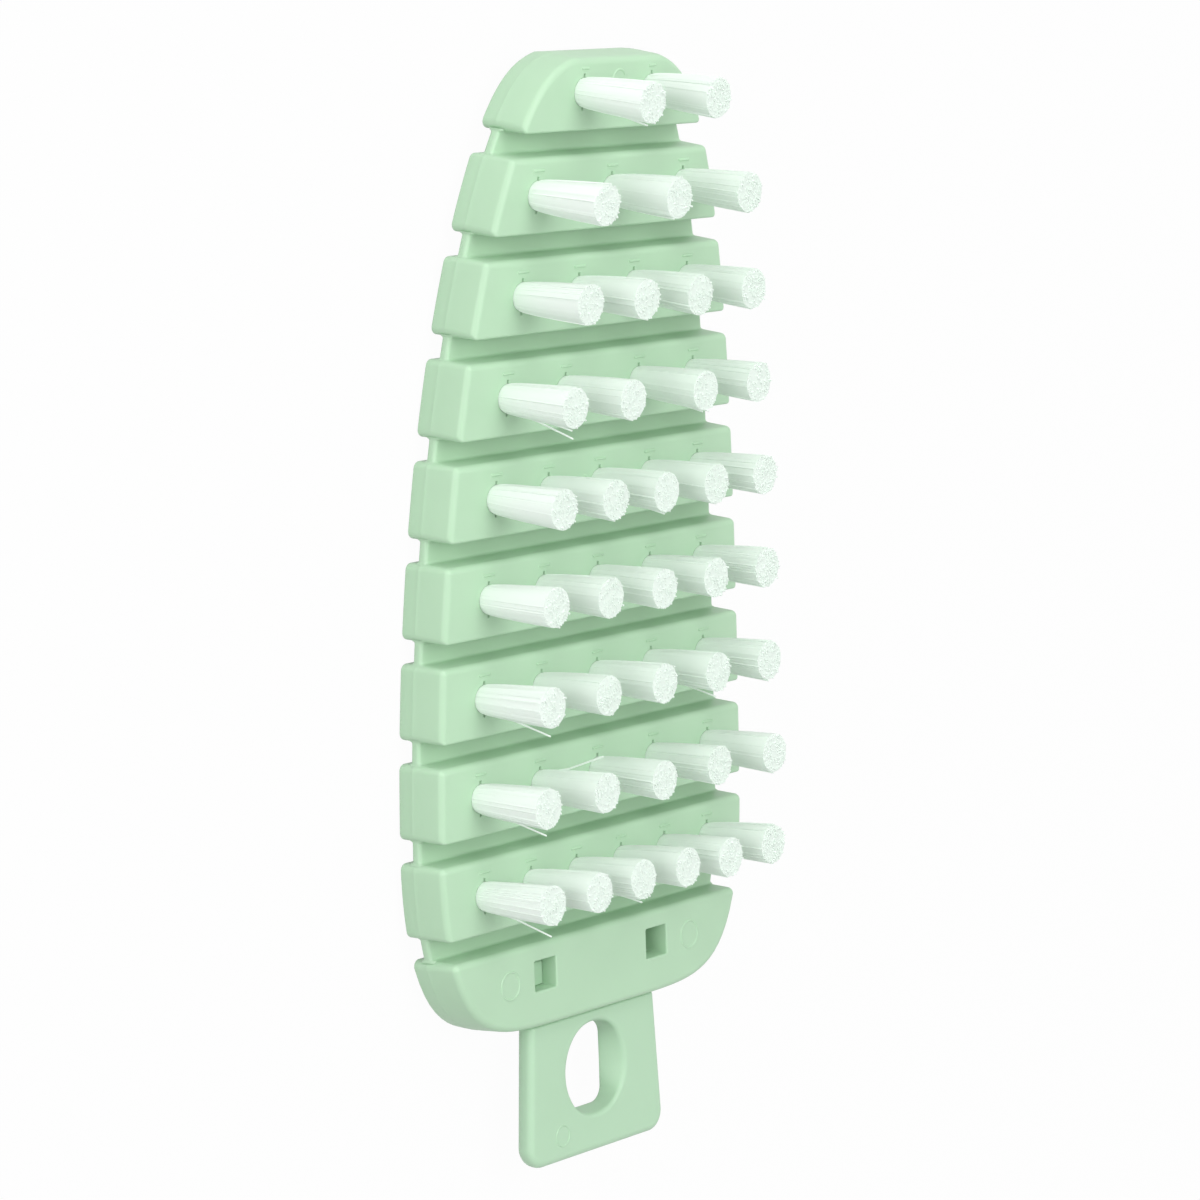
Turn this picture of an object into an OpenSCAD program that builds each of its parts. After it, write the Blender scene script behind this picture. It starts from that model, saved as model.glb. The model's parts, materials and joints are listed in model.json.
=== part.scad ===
// Bendable vegetable brush: ten plastic blocks joined by nine thin flexing webs, with staple-set
// tufts on nine of the blocks and a hanging tab that snaps into the base block.
// It lies on its back: the tufts point up (+Z), the tip points along +X, the tab along -X.

/* [Body] */
// Length of one block along the brush
block_len = 10.8; // [9.5:0.1:13]
// Width of the groove between two blocks
groove = 3.2; // [2:0.1:5]
// Length of the rounded tip block
tip_len = 10.35; // [9.5:0.05:14]
// Length of the base block, which carries the tab
base_len = 12.7; // [12.2:0.1:16]
// Half of the body's greatest width
half_width_max = 34.9; // [32:0.1:42]
// Distance from the tip to the widest place
widest_at = 111.25; // [100:0.25:120]
// Thickness of the blocks
body_t = 7.8; // [7.4:0.1:10]
// Radius of a block's corners, seen from the front
corner_r = 1.1; // [0.4:0.1:1.5]
// Radius of the rounded front edges
edge_r = 0.9; // [0.3:0.1:1.3]
// Radius of the back edges, and of the front edge that looks away from the tip
small_edge_r = 0.4; // [0.1:0.05:0.8]
// Lean of the sides, from the parting line to the front
draft = 0.25; // [0:0.05:0.5]
// Lean of the sides, from the parting line to the back
back_draft = 0.1; // [0:0.05:0.4]
// Angle by which each web is bowed towards the tufts at rest, in degrees
bow_step = 0.84; // [0:0.02:1]

/* [Webs] */
// Thickness of a web
web_t = 1.55; // [1:0.05:2]
// Height of a web's back face above the back of the body
web_z = 1.8; // [1.4:0.1:2.4]
// Distance from a block's side to the edge of a web
web_inset = 0.6; // [0.4:0.1:2]

/* [Tufts] */
// Diameter of the hole that holds a tuft
bore_d = 4; // [3.6:0.1:4.6]
// Depth of that hole
bore_depth = 5; // [4.4:0.1:5.4]
// Free length of the tufts above the front face
tuft_len = 12.2; // [8:0.1:20]
// Radius that a tuft gains from its root to its tip
tuft_spread = 0.85; // [0:0.05:0.9]
// Radius of one bristle strand
strand_r = 0.4; // [0.2:0.02:0.42]
// Play between a tuft's folded root and its hole
root_play = 0.05; // [0.02:0.01:0.1]
// Number of strands in the outer ring of a tuft
outer_strands = 6; // [5:1:7]
// Number of strands in the inner ring of a tuft
inner_strands = 2; // [2:1:3]

/* [Staples] */
// Length of the wire staple that anchors a tuft
staple_len = 5; // [4.7:0.1:5.6]
// Thickness of the staple
staple_t = 0.35; // [0.25:0.05:0.5]
// Height of the staple
staple_h = 1.2; // [0.8:0.1:1.6]
// Height of the staple above the floor of the hole
staple_rise = 0.8; // [0.5:0.1:1.2]
// Play on each side of the staple in its slot
staple_play = 0.04; // [0.02:0.01:0.08]

/* [Tab] */
// Length of the tab beyond the base block
tab_len = 21; // [18:0.5:30]
// Half width of the tab at the base block
tab_top_half = 14.4; // [13.6:0.1:15.5]
// Half width of the tab at its free end
tab_end_half = 15.7; // [13.6:0.1:18]
// Thickness of the tab
tab_t = 3.4; // [3:0.1:3.8]
// Height of the tab's back face above the back of the body
tab_z = 2.6; // [2.2:0.1:3]
// Radius of the tab's outer corners
tab_corner_r = 3; // [1:0.5:5]
// Radius of the tab's corners at the base block
shoulder_r = 0.8; // [0.4:0.1:1]
// Width of the hanging hole
hole_w = 9.4; // [8:0.1:10.4]
// Height of the hanging hole
hole_h = 12.2; // [11:0.1:12.8]
// Radius of the hanging hole's corners
hole_corner_r = 2.2; // [1:0.1:2.9]
// Distance from the base block to the middle of the hanging hole
hole_at = 8.7; // [8.2:0.1:10.5]
// Diameter of the hole's dished front mouth
mouth_d = 14.1; // [13:0.1:15]
// How far the dish starts inside the side walls of the hole
throat_inset = 0.2; // [0.1:0.05:0.6]

/* [Snap fit] */
// Distance from the middle of the brush to the middle of a prong
prong_at = 12; // [11.6:0.1:12.1]
// Width of a prong
prong_w = 2.8; // [2:0.1:3]
// Thickness of a prong
prong_t = 1.1; // [0.9:0.1:1.3]
// Length of a prong inside the base block
prong_len = 9.8; // [9.4:0.1:10.2]
// Height of a prong's back face above the back face of the tab
prong_rise = 1.1; // [0.8:0.05:1.3]
// Height of the barb on a prong
barb_h = 0.4; // [0.3:0.05:0.6]
// Length of the barb's flat crest
barb_crest = 3.2; // [2.6:0.1:3.4]
// Play round a prong in its slot
prong_play = 0.2; // [0.12:0.02:0.24]
// Distance from the middle of the brush to the middle of a window
window_side = 12.9; // [12.6:0.1:13.2]
// Width of the window over the barb
window_w = 4.8; // [4.4:0.1:5]
// Length of the window over the barb
window_len = 4.4; // [4.2:0.1:4.6]
// Distance from the base block's end to the window
window_at = 5.5; // [5.4:0.05:5.7]

/* [Hidden] */
blocks = 10;
webs = blocks - 1;
rows = webs;
// The block that lies level, on the surface the brush rests on
level_block = 6;
pitch = block_len + groove;
body_len = tip_len + webs * pitch + base_len - block_len;
// The webs bend about their middle
hinge_z = web_z + web_t / 2;
web_top = web_z + web_t;
// Shape of the outline: low shares give blunter ends
tip_round_share = 0.33;
base_round_share = 0.16;
// How far the tip ends before its own curve does, which leaves it a short flat end
tip_trim = 0.75;
// Depth over which the outline ends in a straight line at the base
flat_end = 0.1;
// How far the curve is drawn on where the tip is fullest, and the distance of that place from the end
tip_fullness = 1.4;
fullest_at = 6;
// Where the tufts stand on each row, as shares of the block's half width; mirrored below
row_shares = [
    [0.435],
    [0, 0.681],
    [0.222, 0.667],
    [0.273, 0.69],
    [0, 0.355, 0.71],
    [0, 0.362, 0.723],
    [0, 0.366, 0.733],
    [0, 0.376, 0.753],
    [0.149, 0.4465, 0.744]
];
// Rings of strands in a tuft, as shares of the folded root's radius
outer_ring_share = 0.68;
inner_ring_share = 0.27;
// How far the strands reach down into the folded root, and the root below the face
strand_sink = 0.6;
root_sink = 0.4;
// Unevenness of the trimmed strands, as a share of their length
trim_share = 0.02;
// Turn of the tufts from one row to the next, in degrees
row_turn = 23;
// Overrun of the cuts
over = 0.5;
fine = 48;

// Place of each block in the bowed chain

// Angle by which block i leans, positive where its tip end is raised
function lean(i) = (level_block - i) * bow_step;

function along(a) = [cos(a), sin(a)];

// Middle of block i at the height of the webs, as [x, z], before the whole is centred
function middle(i) =
    i == level_block ? [0, hinge_z] :
    i < level_block ? middle(i + 1) + (along(lean(i + 1)) + along(lean(i))) * pitch / 2 :
    middle(i - 1) - (along(lean(i - 1)) + along(lean(i))) * pitch / 2;

// Bending line of the web below block i, as [x, z], before the whole is centred
function hinge(i) = middle(i) - along(lean(i)) * pitch / 2;

// A point of block i's own frame, as [x, z], before the whole is centred
function in_chain(i, x, z) =
    middle(i) + along(lean(i)) * x + along(lean(i) + 90) * (z - hinge_z);

// Ends of the whole brush, which set the middle of its length
far_tip = in_chain(1, top_end(1), web_z)[0];
far_tab = in_chain(blocks, low_end(blocks) - tab_len, tab_z)[0];
centre_x = (far_tip + far_tab) / 2;

module on_block(i) {
    place = middle(i);
    translate([place[0] - centre_x, 0, place[1]])
        rotate([0, -lean(i), 0])
            translate([0, 0, -hinge_z])
                children();
}

module on_hinge(i) {
    place = hinge(i);
    translate([place[0] - centre_x, 0, place[1]])
        rotate([0, -(lean(i) + lean(i + 1)) / 2, 0])
            children();
}

// Outline of the body

// Half width of the body at a distance s from the tip
function half_width(s) =
    let (
        run = s + tip_trim,
        fuller_run = run + tip_fullness * run / fullest_at * exp(1 - run / fullest_at),
        to_widest = max(1 - fuller_run / (widest_at + tip_trim), 0),
        past_widest = (min(s, body_len - flat_end) - widest_at) / (body_len - widest_at)
    )
    s < widest_at ?
    half_width_max * pow(1 - pow(to_widest, 2), tip_round_share) :
    half_width_max * pow(1 - pow(past_widest, 2), base_round_share);

// Ends of block i in its own frame, whose origin is half a block above its lower end
function top_end(i) = i == 1 ? tip_len - block_len / 2 : block_len / 2;
function low_end(i) = i == blocks ? block_len / 2 - base_len : -block_len / 2;

// Distance from the tip to the place x of block i
function station(i, x) = tip_len - block_len / 2 + (i - 1) * pitch - x;

// What a rounded corner takes off the half width at a distance d from the block's end
function corner_cut(d) =
    d >= corner_r ? 0 : corner_r - sqrt(pow(corner_r, 2) - pow(corner_r - d, 2));

function half_at(i, x) =
    half_width(station(i, x))
    - (i == 1 ? 0 : corner_cut(top_end(i) - x))
    - (i == blocks ? 0 : corner_cut(x - low_end(i)));

// Places along block i where the outline has a point, from its top end to its lower end
corner_steps = [0, 45, 90];
corner_places = [for (a = corner_steps) corner_r * (1 - cos(a))];
curve_shares = [0, 0.015, 0.04, 0.08, 0.14, 0.22, 0.32, 0.44, 0.58, 0.74];

function places(i) =
    let (top = top_end(i), low = low_end(i), length = top - low)
    i == 1 ?
    concat([for (f = curve_shares) top - f * length], [for (k = [2:-1:0]) low + corner_places[k]]) :
    i == blocks ?
    concat([for (p = corner_places) top - p], [for (k = [9:-1:0]) low + curve_shares[k] * length]) :
    concat([for (p = corner_places) top - p], [(top + low) / 2], [for (k = [2:-1:0]) low + corner_places[k]]);

// Outline of block i, counter-clockwise, drawn in by one inset all round and by another where
// the groove's face looks away from the tip
function outline(i, inset, low_inset) =
    let (
        top = top_end(i),
        low = low_end(i),
        mid = (top + low) / 2,
        foot = low + (i == blocks ? inset : low_inset),
        long_scale = (top - inset - foot) / (top - low),
        wide_scale = 1 - inset / half_at(i, mid),
        xs = places(i),
        last = len(xs) - 1
    )
    concat(
        [for (x = xs) [foot + (x - low) * long_scale, half_at(i, x) * wide_scale]],
        [for (k = [last:-1:0]) [foot + (xs[k] - low) * long_scale, -half_at(i, xs[k]) * wide_scale]]
    );

// What a rounded edge of radius r draws in at a depth d under its face
function rounding(r, d) =
    d >= r ? 0 : r - sqrt(pow(r, 2) - pow(r - d, 2));

// Rings that the sides of a block pass through, as height, inset and inset of the crisp end
edge_angles = [0, 45, 90];
rings = concat(
    [[0, small_edge_r + back_draft, small_edge_r]],
    [[small_edge_r, back_draft * (web_z - small_edge_r) / web_z, 0]],
    [[web_z, 0, 0], [web_top, 0, 0]],
    [for (k = [2:-1:0])
        let (depth = edge_r * (1 - cos(edge_angles[k])))
        [
            body_t - depth,
            rounding(edge_r, depth) + draft * (body_t - depth - web_top) / (body_t - web_top),
            rounding(small_edge_r, depth)
        ]]
);

// A closed solid through rings of points, from the lowest ring to the highest
module loft(sections) {
    count = len(sections[0]);
    levels = len(sections);
    polyhedron(
        points = [for (section = sections) each section],
        faces = concat(
            [[for (k = [0:count - 1]) k]],
            [[for (k = [count - 1:-1:0]) (levels - 1) * count + k]],
            [for (level = [0:levels - 2], k = [0:count - 1])
                let (a = level * count, b = a + count, next = (k + 1) % count)
                [a + k, b + k, b + next]],
            [for (level = [0:levels - 2], k = [0:count - 1])
                let (a = level * count, b = a + count, next = (k + 1) % count)
                [a + k, b + next, a + next]]
        )
    );
}

module block_body(i) {
    loft([
        for (ring = rings)
            [for (p = outline(i, ring[1], ring[2])) [p[0], p[1], ring[0]]]
    ]);
}

// Tufts and staples

// Distances of row i's tufts from the middle of the brush
function row_places(i) =
    let (width = half_width(station(i, 0)), shares = row_shares[i - 1])
    concat(
        [for (share = shares) if (share > 0) -share * width],
        [for (share = shares) share * width]
    );

bore_floor = body_t - bore_depth;
staple_floor = bore_floor + staple_rise;

module staple_slot() {
    translate([-staple_len / 2 - staple_play, -staple_t / 2 - staple_play, staple_floor])
        cube([
            staple_len + 2 * staple_play,
            staple_t + 2 * staple_play,
            body_t - staple_floor + over
        ]);
}

module tuft_holes(i) {
    for (y = row_places(i))
        translate([0, y, 0]) {
            translate([0, 0, bore_floor])
                cylinder(d = bore_d, h = bore_depth + over, $fn = fine);
            staple_slot();
        }
}

module staple() {
    translate([-staple_len / 2, -staple_t / 2, staple_floor])
        cube([staple_len, staple_t, staple_h]);
}

root_r = bore_d / 2 - root_play;
root_top = body_t - root_sink;
spread_ratio = 1 + tuft_spread / (outer_ring_share * root_r);

// The folded end of the bristles, with the gap that the staple passes through
module tuft_root() {
    difference() {
        translate([0, 0, bore_floor])
            cylinder(r = root_r, h = root_top - bore_floor, $fn = 8);
        translate([-root_r - over, -staple_t / 2 - staple_play, staple_floor - staple_play])
            cube([
                2 * (root_r + over),
                staple_t + 2 * staple_play,
                staple_h + 2 * staple_play
            ]);
    }
}

// One strand of three sides, from its root to its tip
module strand(foot, tip, turn) {
    polyhedron(
        points = concat(
            [for (k = [0:2]) foot + strand_r * [cos(turn + 120 * k), sin(turn + 120 * k), 0]],
            [for (k = [0:2]) tip + strand_r * [cos(turn + 120 * k), sin(turn + 120 * k), 0]]
        ),
        faces = [
            [0, 1, 2], [5, 4, 3],
            [0, 3, 4], [0, 4, 1],
            [1, 4, 5], [1, 5, 2],
            [2, 5, 3], [2, 3, 0]
        ]
    );
}

// A ring of strands that spread evenly from the root
module strand_ring(count, radius, phase) {
    for (k = [0:count - 1]) {
        angle = 360 * k / count + phase;
        trim = tuft_len * trim_share * sin(3 * angle + phase);
        foot = [radius * cos(angle), radius * sin(angle)];
        strand(
            [foot[0], foot[1], root_top - strand_sink],
            [foot[0] * spread_ratio, foot[1] * spread_ratio, body_t + tuft_len + trim],
            angle
        );
    }
}

module tuft(phase) {
    union() {
        tuft_root();
        strand_ring(outer_strands, outer_ring_share * root_r, phase);
        strand_ring(inner_strands, inner_ring_share * root_r, phase + 180 / outer_strands);
    }
}

// Tab and its snap fit

tab_x = low_end(blocks);
tab_end = tab_x - tab_len;
prong_z = tab_z + prong_rise;
prong_top = prong_z + prong_t;
// The slot leaves room under the prong, so that it can bend down while its barb goes in
slot_z = prong_z - barb_h - prong_play / 2;
slot_h = prong_t + barb_h + prong_play;

// Points of a round corner about its centre
function corner(centre, r, from) =
    [for (a = [from:30:from + 90]) centre + r * [cos(a), sin(a)]];

module tab_outline() {
    polygon(concat(
        corner([tab_x - shoulder_r, tab_top_half - shoulder_r], shoulder_r, 0),
        corner([tab_end + tab_corner_r, tab_end_half - tab_corner_r], tab_corner_r, 90),
        corner([tab_end + tab_corner_r, tab_corner_r - tab_end_half], tab_corner_r, 180),
        corner([tab_x - shoulder_r, shoulder_r - tab_top_half], shoulder_r, 270)
    ));
}

module hanging_hole() {
    translate([tab_x - hole_at, 0, tab_z - over])
        linear_extrude(tab_t + 2 * over) {
            square([hole_h - 2 * hole_corner_r, hole_w], center = true);
            square([hole_h, hole_w - 2 * hole_corner_r], center = true);
            for (x = [-1, 1], y = [-1, 1])
                translate([x * (hole_h / 2 - hole_corner_r), y * (hole_w / 2 - hole_corner_r)])
                    circle(r = hole_corner_r, $fn = fine);
        }
}

// The mouth opens out evenly from the back of the hole to the front face
mouth_r = mouth_d / 2;
throat_r = hole_w / 2 - throat_inset;

module dished_mouth() {
    translate([tab_x - hole_at, 0, tab_z])
        rotate_extrude($fn = fine)
            polygon([
                [0, -over],
                [throat_r, -over],
                [throat_r, 0],
                [mouth_r, tab_t],
                [mouth_r, tab_t + over],
                [0, tab_t + over]
            ]);
}

// A prong's side view, with the barb that catches behind the edge of the window
barb_at = window_at + prong_play;

module prong() {
    translate([0, prong_w / 2, 0])
        rotate([90, 0, 0])
            linear_extrude(prong_w)
                polygon([
                    [tab_x - tab_corner_r, prong_z],
                    [tab_x + prong_len, prong_z],
                    [tab_x + prong_len, prong_z + prong_t / 2],
                    [tab_x + barb_at + barb_crest + barb_h, prong_top],
                    [tab_x + barb_at + barb_crest, prong_top + barb_h],
                    [tab_x + barb_at, prong_top + barb_h],
                    [tab_x + barb_at, prong_top],
                    [tab_x - tab_corner_r, prong_top]
                ]);
}

module prong_slot() {
    width = prong_w + 2 * prong_play;
    translate([tab_x - over, -width / 2, slot_z])
        cube([prong_len + prong_play + over, width, slot_h]);
}

module window() {
    translate([tab_x + window_at, -window_w / 2, slot_z])
        cube([window_len, window_w, body_t - slot_z + over]);
}

// The pieces

module block(i) {
    color([0.72, 0.86, 0.73])
        on_block(i)
            difference() {
                block_body(i);
                tuft_holes(i);
            }
}

module base_block() {
    color([0.72, 0.86, 0.73])
        on_block(blocks)
            difference() {
                block_body(blocks);
                for (side = [-1, 1]) {
                    translate([0, side * prong_at, 0])
                        prong_slot();
                    translate([0, side * window_side, 0])
                        window();
                }
            }
}

module hanging_tab() {
    color([0.71, 0.85, 0.72])
        on_block(blocks)
            union() {
                difference() {
                    translate([0, 0, tab_z])
                        linear_extrude(tab_t)
                            tab_outline();
                    hanging_hole();
                    dished_mouth();
                }
                for (side = [-1, 1])
                    translate([0, side * prong_at, 0])
                        prong();
            }
}

// A web between the faces of two blocks that lean apart by the bow
module web(i) {
    half_len = groove / 2;
    tip_side = bow_step / 2;
    edge = half_width(station(i, low_end(i)) + half_len) - web_inset;
    slope = (half_width(station(i + 1, top_end(i + 1))) - half_width(station(i, low_end(i)))) / groove;
    color([0.62, 0.78, 0.64])
        on_hinge(i)
            intersection() {
                translate([0, half_width_max, 0])
                    rotate([90, 0, 0])
                        linear_extrude(2 * half_width_max)
                            polygon([
                                half_len * along(tip_side) - web_t / 2 * along(tip_side + 90),
                                half_len * along(tip_side) + web_t / 2 * along(tip_side + 90),
                                -half_len * along(-tip_side) + web_t / 2 * along(90 - tip_side),
                                -half_len * along(-tip_side) - web_t / 2 * along(90 - tip_side)
                            ]);
                translate([0, 0, -web_t])
                    linear_extrude(2 * web_t)
                        polygon([
                            [groove, edge - slope * groove],
                            [-groove, edge + slope * groove],
                            [-groove, -edge - slope * groove],
                            [groove, -edge + slope * groove]
                        ]);
            }
}

module tuft_row(i) {
    color([0.94, 0.98, 0.95])
        on_block(i)
            for (y = row_places(i))
                translate([0, y, 0])
                    tuft(row_turn * (i + y / pitch));
}

module staple_row(i) {
    color([0.55, 0.57, 0.56])
        on_block(i)
            for (y = row_places(i))
                translate([0, y, 0])
                    staple();
}

block(1);  // tip_block
for (i = [2:webs])
    block(i);
base_block();
hanging_tab();
for (i = [1:webs])
    web(i);
for (i = [1:rows])
    tuft_row(i);
for (i = [1:rows])
    staple_row(i);
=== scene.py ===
import json
import math
import random

import bpy
import numpy as np
from mathutils import Matrix, Vector
from mathutils.geometry import delaunay_2d_cdt

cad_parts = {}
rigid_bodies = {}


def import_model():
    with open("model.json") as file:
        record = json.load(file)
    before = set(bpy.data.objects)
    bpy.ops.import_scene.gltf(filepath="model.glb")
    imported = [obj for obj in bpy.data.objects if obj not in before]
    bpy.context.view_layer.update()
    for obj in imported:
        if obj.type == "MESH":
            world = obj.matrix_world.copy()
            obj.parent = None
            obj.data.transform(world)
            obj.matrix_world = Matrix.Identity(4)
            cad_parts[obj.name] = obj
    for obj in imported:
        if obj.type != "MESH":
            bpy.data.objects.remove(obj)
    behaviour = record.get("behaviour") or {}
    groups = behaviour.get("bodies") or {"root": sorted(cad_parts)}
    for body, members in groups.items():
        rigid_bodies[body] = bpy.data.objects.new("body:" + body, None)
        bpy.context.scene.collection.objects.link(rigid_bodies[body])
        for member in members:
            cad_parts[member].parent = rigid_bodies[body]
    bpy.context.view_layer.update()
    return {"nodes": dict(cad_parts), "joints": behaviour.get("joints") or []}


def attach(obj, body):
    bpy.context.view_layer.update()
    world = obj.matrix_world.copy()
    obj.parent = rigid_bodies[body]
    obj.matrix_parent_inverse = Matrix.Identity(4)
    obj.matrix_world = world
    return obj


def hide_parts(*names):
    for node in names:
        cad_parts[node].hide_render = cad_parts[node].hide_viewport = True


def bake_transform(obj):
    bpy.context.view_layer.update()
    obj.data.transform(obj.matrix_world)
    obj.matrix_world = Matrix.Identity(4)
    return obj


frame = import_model()

MM = 0.001

# Body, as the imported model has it
BLOCK_LEN = 10.8 * MM
TIP_LEN = 10.35 * MM
BASE_LEN = 12.7 * MM
HALF_WIDTH_MAX = 34.9 * MM
WIDEST_AT = 111.25 * MM
BODY_T = 7.8 * MM
CORNER_R = 1.1 * MM
EDGE_R = 0.9 * MM
SMALL_EDGE_R = 0.35 * MM
DRAFT = 0.25 * MM
BACK_DRAFT = 0.1 * MM
TIP_ROUND_SHARE = 0.33
BASE_ROUND_SHARE = 0.16
# The tip's flat end, and how far its curve is drawn on where it is fullest
TIP_TRIM = 0.75 * MM
TIP_FULLNESS = 1.4 * MM
FULLEST_AT = 6 * MM
BLOCKS = 10
# The block that lies flat on the surface
LEVEL_BLOCK = 6
# Least radius that a corner keeps where it is drawn in
CORNER_MIN = 0.12 * MM
# Raised seam where the halves of the mould met
SEAM_W = 0.12 * MM
SEAM_H = 0.035 * MM

# Webs
WEB_T = 1.55 * MM
WEB_INSET = 0.6 * MM
WEB_EDGE_R = 0.55 * MM
WEB_FILLET_R = 0.4 * MM
WEB_CORNER_R = 0.5 * MM
WEB_SUNK = 0.3 * MM
# Shares of a web's half length at which its section is drawn, closer together in its fillets
WEB_STOP_SHARES = [0, 0.35, 0.6, 0.72, 0.8, 0.86, 0.91, 0.95, 0.98, 1.0]
WEB_SUNK_STEPS = 3
# The largest share of its limit that a web's round takes
ROUND_SHARE = 0.95

# Tuft holes, and the places of the tufts across each row as shares of the half width
BORE_R = 2.0 * MM
BORE_DEPTH = 5.0 * MM
NOTCH_R = 2.54 * MM
NOTCH_HALF = 0.2 * MM
TUFT_LEN = 12.2 * MM
ROW_SHARES = [
    [0.435],
    [0, 0.681],
    [0.222, 0.667],
    [0.273, 0.69],
    [0, 0.355, 0.71],
    [0, 0.362, 0.723],
    [0, 0.366, 0.733],
    [0, 0.376, 0.753],
    [0.149, 0.4465, 0.744],
]

# Places of the blocks, worked out from the frame's hinges

hinges = {int(j["name"].split("_")[1]): Vector(j["pos_m"]) for j in frame["joints"]}
bodies = {int(j["name"].split("_")[1]): j["child"] for j in frame["joints"]}
bodies[BLOCKS] = next(j["parent"] for j in frame["joints"] if j["name"] == f"bend_{BLOCKS - 1}")
HINGE_Z = hinges[LEVEL_BLOCK].z
PITCH = (hinges[LEVEL_BLOCK - 1] - hinges[LEVEL_BLOCK]).length
GROOVE = PITCH - BLOCK_LEN
BODY_LEN = TIP_LEN + (BLOCKS - 1) * PITCH + BASE_LEN - BLOCK_LEN


def lean_between(low, high):
    return math.atan2(high.z - low.z, high.x - low.x)


leans = {i: lean_between(hinges[i], hinges[i - 1]) for i in range(2, BLOCKS)}
bow_step = leans[LEVEL_BLOCK - 1] - leans[LEVEL_BLOCK]
leans[1] = leans[2] + bow_step
leans[BLOCKS] = leans[BLOCKS - 1] - bow_step


def along(lean):
    return Vector((math.cos(lean), 0, math.sin(lean)))


def place(origin, lean):
    """Matrix from a frame whose x runs along the brush, at the height of the webs, to the CAD frame."""
    return Matrix.Translation(origin) @ Matrix.Rotation(-lean, 4, "Y")


middles = {i: (hinges[i - 1] + hinges[i]) / 2 for i in range(2, BLOCKS)}
middles[1] = hinges[1] + along(leans[1]) * PITCH / 2
middles[BLOCKS] = hinges[BLOCKS - 1] - along(leans[BLOCKS]) * PITCH / 2
on_block = {i: place(middles[i], leans[i]) @ Matrix.Translation((0, 0, -HINGE_Z)) for i in middles}
on_hinge = {i: place(hinges[i], (leans[i] + leans[i + 1]) / 2) for i in hinges}


# Materials


class Nodes:
    """A material's node tree, with short calls to add nodes and link them."""

    def __init__(self, name):
        self.material = bpy.data.materials.new(name)
        self.material.use_nodes = True
        self.tree = self.material.node_tree
        self.shader = self.tree.nodes["Principled BSDF"]
        self.output = self.tree.nodes["Material Output"]

    def add(self, kind, **values):
        node = self.tree.nodes.new(kind)
        for key, value in values.items():
            setattr(node, key, value)
        return node

    def link(self, source, target):
        self.tree.links.new(source, target)

    def noise(self, scale, detail=3.0, roughness=0.5, stretch=None):
        noise = self.add("ShaderNodeTexNoise")
        noise.inputs["Scale"].default_value = scale
        noise.inputs["Detail"].default_value = detail
        noise.inputs["Roughness"].default_value = roughness
        coords = self.add("ShaderNodeTexCoord")
        if stretch:
            mapping = self.add("ShaderNodeMapping")
            mapping.inputs["Scale"].default_value = stretch
            self.link(coords.outputs["Object"], mapping.inputs["Vector"])
            self.link(mapping.outputs["Vector"], noise.inputs["Vector"])
        else:
            self.link(coords.outputs["Object"], noise.inputs["Vector"])
        return noise.outputs["Fac"]

    def ramp(self, source, stops):
        ramp = self.add("ShaderNodeValToRGB")
        elements = ramp.color_ramp.elements
        for element, (at, colour) in zip(elements, stops):
            element.position = at
            element.color = (*colour, 1)
        self.link(source, ramp.inputs["Fac"])
        return ramp.outputs["Color"]

    def spread(self, source, low, high):
        scaled = self.add("ShaderNodeMapRange")
        scaled.inputs["To Min"].default_value = low
        scaled.inputs["To Max"].default_value = high
        self.link(source, scaled.inputs["Value"])
        return scaled.outputs["Result"]

    def bump(self, height, distance, strength, normal=None):
        bump = self.add("ShaderNodeBump")
        bump.inputs["Distance"].default_value = distance
        bump.inputs["Strength"].default_value = strength
        self.link(height, bump.inputs["Height"])
        if normal:
            self.link(normal, bump.inputs["Normal"])
        return bump.outputs["Normal"]


BODY_GREEN = (0.445, 0.65, 0.455)
TAB_GREEN = (0.44, 0.645, 0.455)
# How far the plastic's clouds are darker and lighter than its colour
CLOUD_SHARE = 0.015
# Noise scales of clouds, gloss, flow marks and grain, and the depths of the last two
CLOUD_SCALE = 90
GLOSS_SCALE = 400
FLOW_SCALE = 160
FLOW_DEPTH = 0.03 * MM
GRAIN_SCALE = 5200
GRAIN_DEPTH = 0.006 * MM


def moulded_plastic(name, colour):
    """Satin moulded plastic: clouds of slightly different colour, flow marks and a fine grain."""
    n = Nodes(name)
    darker = [c * (1 - CLOUD_SHARE) for c in colour]
    lighter = [c * (1 + CLOUD_SHARE) for c in colour]
    clouds = n.noise(CLOUD_SCALE, detail=4)
    n.link(n.ramp(clouds, [(0.3, darker), (0.7, lighter)]), n.shader.inputs["Base Color"])
    n.link(n.spread(n.noise(GLOSS_SCALE, detail=2), 0.4, 0.5), n.shader.inputs["Roughness"])
    flow = n.bump(n.noise(FLOW_SCALE, detail=2, stretch=(0.35, 1, 1)), FLOW_DEPTH, 0.5)
    n.link(n.bump(n.noise(GRAIN_SCALE, detail=3), GRAIN_DEPTH, 0.5, flow), n.shader.inputs["Normal"])
    n.shader.inputs["Specular IOR Level"].default_value = 0.45
    n.shader.inputs["Subsurface Weight"].default_value = 0.12
    n.shader.inputs["Subsurface Radius"].default_value = (0.7, 1.0, 0.7)
    n.shader.inputs["Subsurface Scale"].default_value = 1.2 * MM
    return n.material


NYLON_SHADES = [(0.3, (0.91, 0.99, 0.93)), (0.7, (0.93, 1, 0.95))]
NYLON_DRIFT_SCALE = 60
NYLON_GLOSS_SCALE = 900
# Painted shade: faces that point up the tufts, the bristles' cut ends, are coloured duller than the sides
END_PAINTED_SHADE = [(0.5, (1, 1, 1)), (0.8, (0.9, 0.92, 0.905))]
SEE_THROUGH = (0.97, 1, 0.98, 1)
SEE_THROUGH_SHARE = 0.1


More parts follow.
